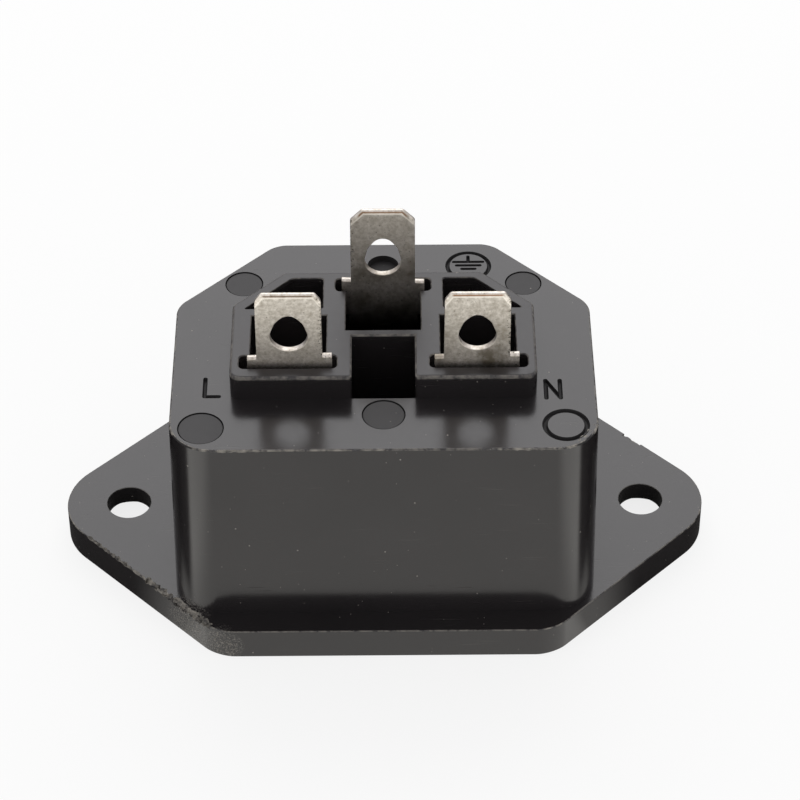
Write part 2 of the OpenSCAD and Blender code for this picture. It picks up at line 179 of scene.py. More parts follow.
def platedBrass():       # brass strip, stamped after nickel plating: warm grey and satin, with a cloudy mottle, pits,
    # and a line of bare brass where the tip's lead-in was pressed
    p = metalLook
    m = newMaterial("nickelPlatedBrass")
    place = addNode(m, "TexCoord").outputs["Object"]
    place = addNode(m, "VectorMath", {"operation": "SCALE"}, {0: place, "Scale": perMetre}).outputs[0]
    height = addNode(m, "SeparateXYZ", {}, {0: place}).outputs["Z"]
    tip = addNode(m, "Attribute", {"attribute_name": "belowTip"}).outputs["Fac"]
    below = tip
    for cut in ("belowLeftCut", "belowRightCut"):
        cut = addNode(m, "Attribute", {"attribute_name": cut}).outputs["Fac"]
        below = addNode(m, "Math", {"operation": "MINIMUM"}, {0: below, 1: cut}).outputs[0]
    across = addNode(m, "Attribute", {"attribute_name": "fromMiddle"}).outputs["Fac"]
    grain = addNode(m, "TexNoise", {}, {"Vector": place, "Scale": p["grain"], "Detail": 8, "Roughness": 0.72}).outputs[0]
    stain = addNode(m, "TexNoise", {}, {"Vector": place, "Scale": p["stainSize"], "Detail": 5, "Roughness": 0.6}).outputs[0]
    pits = addNode(m, "TexNoise", {}, {"Vector": place, "Scale": p["pitSize"], "Detail": 2}).outputs[0]
    mottle = addNode(m, "MapRange", {}, {"Value": grain, "From Min": 0.35, "From Max": 0.65}).outputs[0]
    cloud = addNode(m, "MapRange", {}, {"Value": stain, "From Min": 0.45, "From Max": 0.65}).outputs[0]
    lower = addNode(m, "MapRange", {}, {"Value": tip, "From Min": 2.2, "From Max": 6, "To Min": 0.15, "To Max": 1}).outputs[0]
    cloud = addNode(m, "Math", {"operation": "MULTIPLY"}, {0: cloud, 1: lower}).outputs[0]
    aged = addNode(m, "Attribute", {"attribute_name": "tarnish"}).outputs["Fac"]
    cloud = addNode(m, "Math", {"operation": "MULTIPLY"}, {0: cloud, 1: aged}).outputs[0]
    edge = addNode(m, "MapRange", {}, {"Value": across, "From Min": 2.05, "From Max": 2.35, "To Max": 0.14}).outputs[0]
    blade = addNode(m, "MapRange", {}, {"Value": tip, "From Min": 5.6, "From Max": 6, "To Min": 1, "To Max": 0.2}).outputs[0]
    edge = addNode(m, "Math", {"operation": "MULTIPLY"}, {0: edge, 1: blade}).outputs[0]
    pits = addNode(m, "Math", {"operation": "ADD"}, {0: pits, 1: edge}).outputs[0]
    pits = addNode(m, "MapRange", {}, {"Value": pits, "From Min": 0.67, "From Max": 0.74, "To Max": 0.8}).outputs[0]
    colour = addNode(m, "Mix", {"data_type": "RGBA"}, {0: mottle, 6: linear(p["light"]), 7: linear(p["dull"])}).outputs[2]
    for share, code in ((cloud, p["stain"]), (pits, p["pit"])):
        colour = addNode(m, "Mix", {"data_type": "RGBA"}, {0: share, 6: colour, 7: linear(code)}).outputs[2]
    inside = addNode(m, "Math", {"operation": "ABSOLUTE"}, {0: across}).outputs[0]
    inside = addNode(m, "MapRange", {}, {"Value": inside, "From Min": p["bare"] - 0.1, "From Max": p["bare"] + 0.1,
                                         "To Min": 1, "To Max": 0}).outputs[0]
    bands = []
    for low, high in (p["leadIn"], p["ridge"]):      # 1 between two distances below the tip
        middle, half = (low + high) / 2, (high - low) / 2
        band = addNode(m, "Math", {"operation": "SUBTRACT"}, {0: below, 1: middle}).outputs[0]
        band = addNode(m, "Math", {"operation": "ABSOLUTE"}, {0: band}).outputs[0]
        bands.append(addNode(m, "MapRange", {}, {"Value": band, "From Min": half * 0.7, "From Max": half * 1.2,
                                                 "To Min": 1, "To Max": 0}).outputs[0])
    bare = addNode(m, "Math", {"operation": "MULTIPLY"}, {0: bands[0], 1: inside}).outputs[0]
    bare = addNode(m, "Math", {"operation": "MULTIPLY"}, {0: bare, 1: 0.85}).outputs[0]
    line = addNode(m, "Mix", {"data_type": "RGBA"}, {0: aged, 6: linear(p["steel"]), 7: linear(p["brass"])}).outputs[2]
    colour = addNode(m, "Mix", {"data_type": "RGBA"}, {0: bare, 6: colour, 7: line}).outputs[2]
    # painted highlight: a pale band across the tip's bevel, between the ridge distances below the tip
    ridgeHighlight = addNode(m, "Math", {"operation": "MULTIPLY"}, {0: bands[1], 1: 0.6}).outputs[0]
    colour = addNode(m, "Mix", {"data_type": "RGBA"}, {0: ridgeHighlight, 6: colour, 7: linear(p["ridgeHighlight"])}).outputs[2]
    # painted shade: the plating darkens towards the bottom of the contact, inside the housing's chamber
    low, high = p["chamberShadeFrom"]
    deep = addNode(m, "MapRange", {"interpolation_type": "SMOOTHSTEP"},
                   {"Value": height, "From Min": low, "From Max": high, "To Min": 1, "To Max": 0}).outputs[0]
    colour = addNode(m, "Mix", {"data_type": "RGBA"}, {0: deep, 6: colour, 7: linear(p["deep"])}).outputs[2]
    rough = addNode(m, "Math", {"operation": "MULTIPLY_ADD"},
                    {0: grain, 1: p["grainRoughness"], 2: p["roughness"]}).outputs[0]
    relief = addNode(m, "Math", {"operation": "MULTIPLY_ADD"}, {0: pits, 1: -0.8, 2: grain}).outputs[0]
    relief = addNode(m, "Math", {"operation": "MULTIPLY"}, {0: relief, 1: p["relief"]}).outputs[0]
    bump = addNode(m, "Bump", {}, {"Height": relief, "Distance": 1 / perMetre}).outputs[0]
    shader = addNode(m, "BsdfPrincipled", {}, {"Base Color": colour, "Metallic": 1.0, "Roughness": rough, "Normal": bump})
    addNode(m, "OutputMaterial", {}, {"Surface": shader.outputs[0]})
    return m


# ---- modelling steps ----

def pick(piece):         # only this piece is selected, in object mode
    if bpy.context.object and bpy.context.object.mode != "OBJECT":
        bpy.ops.object.mode_set(mode="OBJECT")
    bpy.ops.object.select_all(action="DESELECT")
    if piece:
        piece.select_set(True)
        bpy.context.view_layer.objects.active = piece


def settle(name):        # names the new primitive and puts its place into its mesh
    piece = bpy.context.object
    piece.name = name
    bpy.ops.object.transform_apply(location=True, rotation=True, scale=True)
    return piece


def addBox(name, low, high):
    pick(None)
    middle = [(a + b) / 2 for a, b in zip(low, high)]
    bpy.ops.mesh.primitive_cube_add(size=1, location=middle, scale=[b - a for a, b in zip(low, high)])
    return settle(name)


def addRod(name, x, y, low, high, radius, topRadius=None, sides=64):
    pick(None)
    bpy.ops.mesh.primitive_cone_add(vertices=sides, radius1=radius, location=(x, y, (low + high) / 2),
                                    radius2=radius if topRadius is None else topRadius, depth=high - low)
    return settle(name)


def choose(piece, kind, test):   # edit mode, with only the vertices, edges or faces that pass the test selected
    pick(piece)
    bpy.ops.object.mode_set(mode="EDIT")
    bpy.ops.mesh.select_mode(type=kind)
    bpy.ops.mesh.select_all(action="DESELECT")
    mesh = bmesh.from_edit_mesh(piece.data)
    parts = {"VERT": mesh.verts, "EDGE": mesh.edges, "FACE": mesh.faces}[kind]
    for part in parts:
        if test(part):
            part.select_set(True)
    mesh.select_flush_mode()
    bmesh.update_edit_mesh(piece.data)


def middleOf(edge):
    return (edge.verts[0].co + edge.verts[1].co) / 2


def upright(edge):
    run = edge.verts[0].co - edge.verts[1].co
    return abs(run.z) > 0.99 * run.length


def bevelEdges(piece, test, offset, segments=1):
    choose(piece, "EDGE", test)
    bpy.ops.mesh.bevel(offset=offset, segments=segments, profile=0.5, affect="EDGES")
    bpy.ops.object.mode_set(mode="OBJECT")


def resizeAt(piece, height, factors, centre=(0, 0)):   # scales the vertices at one height
    choose(piece, "VERT", lambda v: abs(v.co.z - height) < 0.001)
    bpy.ops.transform.resize(value=(factors[0], factors[1], 1), center_override=(centre[0], centre[1], height))
    bpy.ops.object.mode_set(mode="OBJECT")


def applyModifier(piece, kind, **settings):
    pick(piece)
    modifier = piece.modifiers.new(kind.lower(), kind)
    for name, value in settings.items():
        setattr(modifier, name, value)
    bpy.ops.object.modifier_apply(modifier=modifier.name)


def combine(piece, tool, how="DIFFERENCE"):     # the tool is used up
    applyModifier(piece, "BOOLEAN", operation=how, object=tool, solver="EXACT")
    bpy.data.objects.remove(tool)


def flareMouth(tool, reach, way=(0, 0, 1), across=(1, 1, 0)):   # widens a cutter's end, which leaves a chamfer
    way = Vector(way)
    choose(tool, "FACE", lambda f: f.normal.dot(way) > 0.99)
    corners = [v.co.copy() for v in bmesh.from_edit_mesh(tool.data).verts if v.select]
    low = Vector([min(c[i] for c in corners) for i in range(3)])
    high = Vector([max(c[i] for c in corners) for i in range(3)])
    factors = [1 + 2 * reach / (high[i] - low[i]) if across[i] else 1 for i in range(3)]
    bpy.ops.mesh.extrude_region_move(TRANSFORM_OT_translate={"value": way * reach})
    bpy.ops.transform.resize(value=factors, center_override=(low + high) / 2)
    bpy.ops.mesh.extrude_region_move(TRANSFORM_OT_translate={"value": way})
    bpy.ops.object.mode_set(mode="OBJECT")


def raggedStrand(name, path, radius, jitter, step, seed):   # a thin uneven rod along a path, for flash and chips
    pick(None)
    points = [Vector(path[0])]
    for end in path[1:]:
        start = points[-1]
        count = max(1, round((Vector(end) - start).length / step))
        points += [start.lerp(Vector(end), (i + 1) / count) for i in range(count)]
    curve = bpy.data.curves.new(name, "CURVE")
    curve.dimensions = "3D"
    curve.bevel_depth, curve.bevel_resolution, curve.use_fill_caps = radius, 1, True
    spline = curve.splines.new("POLY")
    spline.points.add(len(points) - 1)
    chance = random.Random(seed)
    for spot, point in zip(spline.points, points):
        spot.co = (*point, 1)
        spot.radius = chance.uniform(0.35, 1)
    strand = bpy.data.objects.new(name, curve)
    bpy.context.collection.objects.link(strand)
    pick(strand)
    bpy.ops.object.convert(target="MESH")
    strand = bpy.context.object
    choose(strand, "VERT", lambda v: True)
    bpy.ops.mesh.remove_doubles(threshold=0.002)
    bpy.ops.transform.vertex_random(offset=jitter, seed=seed)
    bpy.ops.mesh.normals_make_consistent(inside=False)
    bpy.ops.object.mode_set(mode="OBJECT")
    return strand


def paintFaces(piece, name, rules):     # a value on each face: the first rule whose test of centre and normal passes
    layer = piece.data.attributes.new(name, "FLOAT", "FACE")
    for face in piece.data.polygons:
        for test, value in rules:
            if test(face.center, face.normal, face.area):
                layer.data[face.index].value = value
                break


def finishPiece(piece, material, node, smoothAngle=32):
    pick(piece)
    bpy.ops.object.mode_set(mode="EDIT")
    bpy.ops.mesh.select_all(action="SELECT")
    bpy.ops.mesh.remove_doubles(threshold=0.0005)
    bpy.ops.transform.resize(value=[1 / perMetre] * 3, center_override=(0, 0, 0))
    bpy.ops.object.mode_set(mode="OBJECT")
    bpy.ops.object.shade_smooth_by_angle(angle=math.radians(smoothAngle))
    applyModifier(piece, "WEIGHTED_NORMAL", keep_sharp=True)
    piece.data.materials.clear()
    piece.data.materials.append(material)
    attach(piece, "root")
    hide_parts(node)


# ---- housing: one moulding of black thermoplastic ----

cutTan = math.tan(math.radians(22.5))   # a round's setback at a corner of 135 degrees, for a radius of 1

housingSizes = dict(
    holePitch=40, holeRadius=1.7, sinkRadius=2.9, holeRim=0.04,
    flangeThickness=2.7, flangeRadius=3.2, tipRadius=4.8, flangeEdge=0.08,
    shroudHeight=19.1, shroudWidth=31.5, shroudFront=-11.95, shroudRear=11.75, draft=0.14,
    shroudCut=7.45, shroudRadius=3.2, shroudCutRadius=2, shroudEdge=0.13,
    endWall=1, moatWidth=29.9, moatCut=6.89, moatRadius=3.6, moatCutRadius=1.5, rearWall=2.2, moatRim=0.1,
    coreWidth=22.2, coreDepth=14.9, coreCut=5.3, coreRadius=2.4, coreCutRadius=0.6, coreRecess=0.3, coreEdge=0.12,
    blockWidth=22.5, blockFront=-6.3, blockRear=5.75, blockCut=3.8, blockRadius=0.8, blockCutRadius=0.5, blockEdge=0.26,
    pinPitch=14, pinOffset=4, slot=(2.4, 5.6), leadIn=0.3, frontWall=2.5,
    chamber=(5.6, 5.95), seat=(7.2, 1.45, 2.5), seatRadius=0.4, lineBack=-5.25, earthBack=4.95, rim=0.07,
    notchWidth=4.66, notchRear=-1.63, notchRim=0.13, coreFloor=3,
    pocketX=4.5, pocketY=(1.5, 5), pocketSum=11.9, pocketRadius=0.25,
)


def roundRim(piece, height, offset, segments=3):     # the level edges at one height
    bevelEdges(piece, lambda e: abs(e.verts[0].co.z - height) + abs(e.verts[1].co.z - height) < 0.002, offset, segments)


def cutBlock(name, low, high, cut, frontRadius, cutRadius):   # two corners cut at 45 degrees on the +Y side
    block = addBox(name, low, high)
    bevelEdges(block, lambda e: upright(e) and middleOf(e).y > high[1] - 0.01, cut)
    bevelEdges(block, lambda e: upright(e) and middleOf(e).y > high[1] - cut - 0.01, cutRadius * cutTan, 6)
    bevelEdges(block, lambda e: upright(e) and middleOf(e).y < low[1] + 0.01, frontRadius, 14)
    return block


def flangePlate(width, depth):
    h = housingSizes
    y = depth / 2
    reach = width / 2 - h["tipRadius"] + h["tipRadius"] * math.sqrt(2)
    x = reach - y
    plate = addBox("housing_moulding", (-x, -y, 0), (x, y, h["flangeThickness"]))
    for side in (-1, 1):
        choose(plate, "FACE", lambda f: f.normal.x * side > 0.99)
        bpy.ops.mesh.extrude_region_move(TRANSFORM_OT_translate={"value": (side * y, 0, 0)})
        bpy.ops.transform.resize(value=(1, 0, 1), center_override=(0, 0, 0))
        bpy.ops.mesh.select_all(action="SELECT")
        bpy.ops.mesh.remove_doubles(threshold=0.001)
        bpy.ops.object.mode_set(mode="OBJECT")
    bevelEdges(plate, lambda e: upright(e) and abs(middleOf(e).x) > reach - 0.01, h["tipRadius"], 20)
    bevelEdges(plate, lambda e: upright(e) and abs(abs(middleOf(e).y) - y) < 0.01, h["flangeRadius"] * cutTan, 8)
    choose(plate, "FACE", lambda f: abs(f.normal.z) > 0.99)
    bpy.ops.mesh.dissolve_faces()
    bpy.ops.object.mode_set(mode="OBJECT")
    for height in (0, h["flangeThickness"]):
        roundRim(plate, height, h["flangeEdge"])
    return plate


def shroudBlock():
    h = housingSizes
    grow, foot = h["draft"], h["flangeThickness"] / 2
    low = (-h["shroudWidth"] / 2 - grow, h["shroudFront"] - grow, foot)
    high = (h["shroudWidth"] / 2 + grow, h["shroudRear"] + grow, h["shroudHeight"])
    shroud = cutBlock("shroud", low, high, h["shroudCut"], h["shroudRadius"], h["shroudCutRadius"])
    factors = [1 - 4 * grow / (b - a) for a, b in zip(low[:2], high[:2])]
    resizeAt(shroud, h["shroudHeight"], factors, (0, (low[1] + high[1]) / 2))
    roundRim(shroud, h["shroudHeight"], h["shroudEdge"])
    return shroud


def moatCutter():
    h = housingSizes
    x, wall = h["moatWidth"] / 2, h["endWall"]
    low = (-x, h["shroudFront"] + wall, h["moatRim"])
    high = (x, h["shroudRear"] - wall, h["shroudHeight"] - h["rearWall"])
    moat = cutBlock("moat", low, high, h["moatCut"], h["moatRadius"], h["moatCutRadius"])
    flareMouth(moat, h["moatRim"], (0, 0, -1))
    return moat


def coreBlock():
    h = housingSizes
    x, y = h["coreWidth"] / 2, h["coreDepth"] / 2
    low, high = (-x, -y, h["coreRecess"]), (x, y, h["shroudHeight"] - h["rearWall"] / 2)
    core = cutBlock("core", low, high, h["coreCut"], h["coreRadius"], h["coreCutRadius"])
    roundRim(core, h["coreRecess"], h["coreEdge"])
    return core


def rearBlock(top):
    h = housingSizes
    x = h["blockWidth"] / 2
    low = (-x, h["blockFront"], h["shroudHeight"] - h["rearWall"] / 2)
    block = cutBlock("rearBlock", low, (x, h["blockRear"], top), h["blockCut"], h["blockRadius"], h["blockCutRadius"])
    roundRim(block, top, h["blockEdge"], 4)
    return block


def pinOpening(x, y):    # slot with a sloping lead-in
    h = housingSizes
    sx, sy = h["slot"]
    slope = h["leadIn"] + h["coreRecess"]
    slot = addBox("slot", (x - sx / 2, y - sy / 2, -1), (x + sx / 2, y + sy / 2, h["frontWall"] + 1))
    mouth = addBox("mouth", (x - sx / 2 - slope, y - sy / 2 - slope, 0), (x + sx / 2 + slope, y + sy / 2 + slope, slope))
    resizeAt(mouth, slope, (sx / (sx + 2 * slope), sy / (sy + 2 * slope)), (x, y))
    combine(slot, mouth, "UNION")
    return slot


def contactSpace(x, back, turned, top):   # chamber, and the wider seat for the contact's shoulders
    h = housingSizes
    side, end = -1 if turned else 1, top - h["rim"]
    wide, deep = h["chamber"]
    seatWide, seatDeep, seatDown = h["seat"]
    ys = sorted((back, back + side * deep))
    chamber = addBox("chamber", (x - wide / 2, ys[0], h["frontWall"]), (x + wide / 2, ys[1], end))
    ys = sorted((back, back + side * seatDeep))
    seat = addBox("seat", (x - seatWide / 2, ys[0], top - seatDown), (x + seatWide / 2, ys[1], end))
    bevelEdges(seat, upright, h["seatRadius"], 4)
    for tool in (chamber, seat):
        flareMouth(tool, h["rim"])
    combine(chamber, seat, "UNION")
    return chamber


def coringTools(top):    # notch and two pockets that keep the block's walls even
    h = housingSizes
    x, rim = h["notchWidth"] / 2, h["notchRim"]
    notch = addBox("notch", (-x, h["blockFront"], h["coreFloor"]), (x, h["notchRear"], top - rim))
    mouth = addBox("notchMouth", (-x, h["blockFront"] + rim, h["shroudHeight"]), (x, h["blockFront"] + 2 * rim, top + 1))
    flareMouth(notch, rim)
    flareMouth(mouth, rim, (0, -1, 0), (1, 0, 0))
    tools = [notch, mouth]
    low, high = h["pocketY"]
    near, far = h["pocketX"], h["pocketSum"] - low
    for side in (-1, 1):
        pocket = addBox("pocket", (min(side * near, side * far), low, h["coreFloor"]),
                        (max(side * near, side * far), high, top - h["rim"]))
        choose(pocket, "VERT", lambda v: v.co.y > high - 0.01 and abs(v.co.x) > far - 0.01)
        bpy.ops.transform.translate(value=(side * (low - high), 0, 0))
        bevelEdges(pocket, upright, h["pocketRadius"], 4)
        flareMouth(pocket, h["rim"])
        tools.append(pocket)
    return tools


# marks on the closed end: [x, y, radius] for the round ones
markSizes = dict(
    ejectors=((-10.6, 6.9, 1.45), (10.7, 6.8, 1.4), (-13.28, -9.4, 1.7), (0, -8.05, 1.6)), ejectorDepth=0.06,
    ejectorGap=0.1, gapDepth=0.25,
    corePin=(13.23, -9.3, 1.74), gate=(0, 9, 1.25), gateDepth=0.5,
    depth=0.26, line=0.42, fineLine=0.34, foot=0.45, letter=(1.05, 1.95), lineMark=(-12.6, -5), neutralMark=(12.45, -5.4),
    earthMark=(6.55, 8.88), earthRadius=1.77, earthStem=(0.5, 1.15), earthBars=(1.12, 0.9, 0.5), earthStep=0.42,
)


def strokeCutter(place, a, b, width):     # a cut along one line, narrower at its foot, with round ends
    m, over = markSizes, 0.5
    floor = housingSizes["shroudHeight"] - m["depth"]
    run = Vector(b) - Vector(a)
    middle = (Vector(a) + Vector(b)) / 2
    x, y = (run.length + width) / 2, width / 2
    stroke = addBox("stroke", (-x, -y, floor), (x, y, floor + m["depth"]))
    bevelEdges(stroke, upright, y * 0.98, 4)
    choose(stroke, "FACE", lambda f: f.normal.z > 0.99)
    bpy.ops.mesh.extrude_region_move(TRANSFORM_OT_translate={"value": (0, 0, over)})
    bpy.ops.object.mode_set(mode="OBJECT")
    narrow = width * (1 - m["foot"])
    resizeAt(stroke, floor, (1 - narrow / (2 * x), 1 - narrow / (2 * y)))
    stroke.rotation_euler.z = math.atan2(run.y, run.x)
    stroke.location = (place[0] + middle.x, place[1] + middle.y, 0)
    return settle("stroke")


def ringCutter(x, y, radius, width, depth, foot=1):
    top = housingSizes["shroudHeight"]
    slope = width * (1 - foot) / 2
    ring = addRod("ring", x, y, top - depth, top, radius - slope, radius)
    combine(ring, addRod("ringHole", x, y, top - depth - 0.01, top + 0.01, radius - width + slope, radius - width))
    choose(ring, "FACE", lambda f: f.normal.z > 0.99)
    bpy.ops.mesh.extrude_region_move(TRANSFORM_OT_translate={"value": (0, 0, 0.5)})
    bpy.ops.object.mode_set(mode="OBJECT")
    return ring


def cutMarks(housing):
    m, top = markSizes, housingSizes["shroudHeight"]
    for x, y, radius in m["ejectors"]:
        combine(housing, addRod("ejector", x, y, top - m["ejectorDepth"], top + 1, radius))
        combine(housing, ringCutter(x, y, radius, m["ejectorGap"], m["gapDepth"]))
    x, y, radius = m["gate"]
    combine(housing, addRod("gate", x, y, top - m["gateDepth"], top + 1, radius * 0.9, radius * 1.1))
    combine(housing, ringCutter(*m["corePin"], m["line"], m["depth"], m["foot"]))
    w, t = m["letter"][0] / 2, m["letter"][1] / 2
    strokes = [(m["lineMark"], (-w, -t), (-w, t)), (m["lineMark"], (-w, -t), (w, -t)),
               (m["neutralMark"], (-w, -t), (-w, t)), (m["neutralMark"], (w, -t), (w, t)),
               (m["neutralMark"], (-w, t), (w, -t))]
    for place, a, b in strokes:
        combine(housing, strokeCutter(place, a, b, m["fineLine"]))
    stem, high = m["earthStem"]
    fine = [((0, stem), (0, high))]
    for i, half in enumerate(m["earthBars"]):
        fine.append(((-half, stem - i * m["earthStep"]), (half, stem - i * m["earthStep"])))
    for a, b in fine:
        combine(housing, strokeCutter(m["earthMark"], a, b, m["fineLine"] * 0.8))
    combine(housing, ringCutter(*m["earthMark"], m["earthRadius"], m["fineLine"], m["depth"], m["foot"]))


# torn and chafed places: a radius, then points along the edge
edgeWear = dict(
    step=0.2, jitter=0.3,
    tears=((0.5, (-18.3, -8.5), (-16.2, -10.6), (-14.2, -12.5), (-13.2, -13.4)), (0.27, (-23, -3.8), (-18.4, -8.4)),
           (0.3, (19.2, 7.6), (20.5, 6.3))),
    crumbs=((0.14, (-17.3, -9.2), (-14, -12.3)), (0.1, (-21.4, -5.1), (-18.8, -7.7))), crumbDrop=0.28,
    flash=((0.12, (-12, -11.78), (-8.6, -11.8)), (0.06, (-8.4, -11.79), (0.3, -11.78)), (0.1, (7, -11.79), (11.4, -11.8))),
    corner=(12.47, -8.67), cornerFlash=((0.13, 3.08, -95, -8), (0.11, 2.84, -68, -12), (0.09, 2.62, -60, -25)),
    flashDrop=0.07, wornRounding=0.5,
)


def wearEdges(housing):
    w, h = edgeWear, housingSizes
    top = h["flangeThickness"]
    jobs = [("DIFFERENCE", r, [(x, y, top) for x, y in path]) for r, *path in w["tears"]]
    jobs += [("UNION", r, [(x, y, top - w["crumbDrop"]) for x, y in path]) for r, *path in w["crumbs"]]
    top = h["shroudHeight"] - w["flashDrop"]
    jobs += [("UNION", r, [(x, y, top) for x, y in path]) for r, *path in w["flash"]]
    for r, reach, start, end in w["cornerFlash"]:
        angles = [math.radians(start + (end - start) * i / 12) for i in range(13)]
        jobs.append(("UNION", r, [(w["corner"][0] + reach * math.cos(a), w["corner"][1] + reach * math.sin(a), top)
                                  for a in angles]))
    for seed, (how, radius, path) in enumerate(jobs):
        combine(housing, raggedStrand("strand", path, radius, radius * w["jitter"], w["step"], seed), how)


def paintHousing(housing):
    w, h, m = edgeWear, housingSizes, markSizes
    top, flange = h["shroudHeight"], h["flangeThickness"]
    reach = h["shroudWidth"] / 2 + h["shroudRear"] - h["shroudCut"]

    def inMark(c, n, area):        # below the closed end's face, and away from its outline
        inside = abs(c.x) < h["shroudWidth"] / 2 - 0.5 and c.y > h["shroudFront"] + 0.5 and abs(c.x) + c.y < reach - 0.6
        return inside and top - 0.6 < c.z < top - 0.01

    def onDisc(c, n, area):
        return inMark(c, n, area) and n.z > 0.99 and c.z > top - m["ejectorDepth"] - 0.02

    def onTear(c, n, area):
        return flange - 0.8 < c.z < flange + 0.01 and abs(c.x) + abs(c.y) > 25.6 and area < 0.2 and abs(n.z) < 0.995

    def onFlash(c, n, area):
        return top - 0.4 < c.z < top + 0.2 and area < 0.03 and c.y < -8
    # painted shade in the marks and hollows just below the closed end, weaker on the ejector discs
    paintFaces(housing, "grooveShade", [(onDisc, 0.62), (inMark, 1)])
    paintFaces(housing, "worn", [(inMark, 0), (onTear, 1), (onFlash, 1),
                                 (lambda c, n, area: 0.15 < n.z < 0.97 and c.z > flange - 0.2, w["wornRounding"])])


def buildHousing(plastic):
    h = housingSizes
    low, high = nodeBox("housing")
    top = high.z
    housing = flangePlate(high.x - low.x, high.y - low.y)
    combine(housing, shroudBlock(), "UNION")
    combine(housing, moatCutter())
    combine(housing, coreBlock(), "UNION")
    combine(housing, rearBlock(top), "UNION")
    for side in (-1, 1):
        x = side * h["holePitch"] / 2
        sink = h["sinkRadius"] - h["holeRadius"]
        screwHole = addRod("screwHole", x, 0, -1, h["flangeThickness"] - h["holeRim"], h["holeRadius"])
        flareMouth(screwHole, h["holeRim"])
        combine(housing, screwHole)
        combine(housing, addRod("sink", x, 0, -sink, sink, h["sinkRadius"] + sink, h["holeRadius"]))
        combine(housing, pinOpening(side * h["pinPitch"] / 2, -h["pinOffset"] / 2))
        combine(housing, contactSpace(side * h["pinPitch"] / 2, h["lineBack"], False, top))
    combine(housing, pinOpening(0, h["pinOffset"] / 2))
    combine(housing, contactSpace(0, h["earthBack"], True, top))
    for tool in coringTools(top):
        combine(housing, tool)
    cutMarks(housing)
    wearEdges(housing)
    paintHousing(housing)
    finishPiece(housing, plastic, "housing")
    print("housing done:", len(housing.data.polygons), "faces")


# ---- contacts: each folded from one sheet of brass, blade up ----

contactSizes = dict(
    sheet=0.5, bladeWidth=4.8, edge=0.045, tipCut=(0.45, 0.65), earthTipCut=(0.87, 0.92), tipBevel=(0.13, 0.4), tipRound=0.14,
    shoulderWidth=6.2, shoulderHeight=0.7, shoulderRound=0.21, cornerBurr=0.22, webWidth=5.2,
    holeHeight=2.75, hole=((1.37, 0), (1.16, 0.62), (0.8, 1.12)), earthHole=((1.37, 0), (1.2, 0.7), (0.86, 1.24)),
    window=(1.5, 15.4, 17.8), tang=(1.2, 15.4, 17.5), tangLean=0.27,
    channel=(9.5, 14.5), foldRadius=0.8, jawDepth=4.4,
    jaw=((0.8, 6.4), (1.35, 4.2)),      # each bend's distance from the middle, and its height
    tarnish=dict(line_contact=0.35, neutral_contact=1, earth_contact=0.8),
)


def bladePlate(top, seatTop, cut):      # the lead-in bevel follows the tip and its two cut corners
    c = contactSizes
    w, (inward, down) = c["bladeWidth"] / 2, c["tipBevel"]
    blade = addBox("blade", (-w, 0, seatTop), (w, c["sheet"], top))
    bevelEdges(blade, lambda e: middleOf(e).z > top - 0.01 and abs(middleOf(e).x) > w - 0.01, cut[1])
    resizeAt(blade, top, ((w - cut[0]) / (w - cut[1]), 1))
    slant = Vector((cut[1], 0, cut[0])).normalized()
    planes = [(Vector((0, 0, top - down)), Vector((0, 0, 1)))]
    for side in (-1, 1):
        normal = Vector((side * slant.x, 0, slant.z))
        planes.append((Vector((side * w, 0, top - cut[1])) - normal * down, normal))
    for point, normal in planes:
        choose(blade, "VERT", lambda v: True)
        bpy.ops.mesh.bisect(plane_co=point, plane_no=normal)
        bpy.ops.object.mode_set(mode="OBJECT")

    def onTip(v):
        return v.co.z > top - 0.001 or slant.dot(Vector((abs(v.co.x) - w, 0, v.co.z - top + cut[1]))) > -0.001
    choose(blade, "VERT", onTip)
    bpy.ops.transform.resize(value=(1, 1 - 2 * inward / c["sheet"], 1), center_override=(0, c["sheet"] / 2, 0))
    bpy.ops.object.mode_set(mode="OBJECT")

    def tipCorner(e):
        run = e.verts[0].co - e.verts[1].co
        return abs(run.y) > 0.99 * run.length and middleOf(e).z > top - cut[1] - 0.01 and onTip(e.verts[0])
    bevelEdges(blade, tipCorner, c["tipRound"], 3)
    return blade


def shoulderBar(seatTop, seatDown):     # rounded by the stamping, with a burr thrown up at one outer corner
    c = contactSizes
    half, top = c["shoulderWidth"] / 2, seatTop + c["shoulderHeight"]
    bar = addBox("shoulders", (-half, 0, seatTop - seatDown), (half, c["sheet"], top))
    choose(bar, "VERT", lambda v: v.co.x > half - 0.01 and v.co.z > top - 0.01)
    bpy.ops.transform.translate(value=(0, 0, c["cornerBurr"]))
    bevelEdges(bar, lambda e: middleOf(e).z > top - 0.01 and abs(e.verts[0].co.x - e.verts[1].co.x) > 1, c["shoulderRound"], 4)
    return bar


def paintBlade(contact, node, top, cut):      # each point's distance below the tip's edge and its two cuts, and across
    w = contactSizes["bladeWidth"] / 2
    slant = Vector((cut[1], 0, cut[0])).normalized()
    lines = {"tarnish": lambda p: contactSizes["tarnish"][node], "belowTip": lambda p: top - p.z, "fromMiddle": lambda p: p.x,
             "belowLeftCut": lambda p: -slant.dot(Vector((-p.x - w, 0, p.z - top + cut[1]))),
             "belowRightCut": lambda p: -slant.dot(Vector((p.x - w, 0, p.z - top + cut[1])))}
    for name, measure in lines.items():
        values = contact.data.attributes.new(name, "FLOAT", "POINT").data
        for v in contact.data.vertices:
            values[v.index].value = measure(v.co)


def holeCutter(height, rounds):   # rods of [radius, distance up] and the hull round them
    rods = []
    for radius, up in rounds:
        pick(None)
        bpy.ops.mesh.primitive_cylinder_add(vertices=48, radius=radius, depth=2, location=(0, 0, height + up),
                                            rotation=(math.radians(90), 0, 0))
        rods.append(settle("hole"))
    for rod in rods:
        rod.select_set(True)
    bpy.ops.object.join()
    hole = bpy.context.object
    choose(hole, "VERT", lambda v: True)
    bpy.ops.mesh.convex_hull()
    bpy.ops.object.mode_set(mode="OBJECT")
    return hole


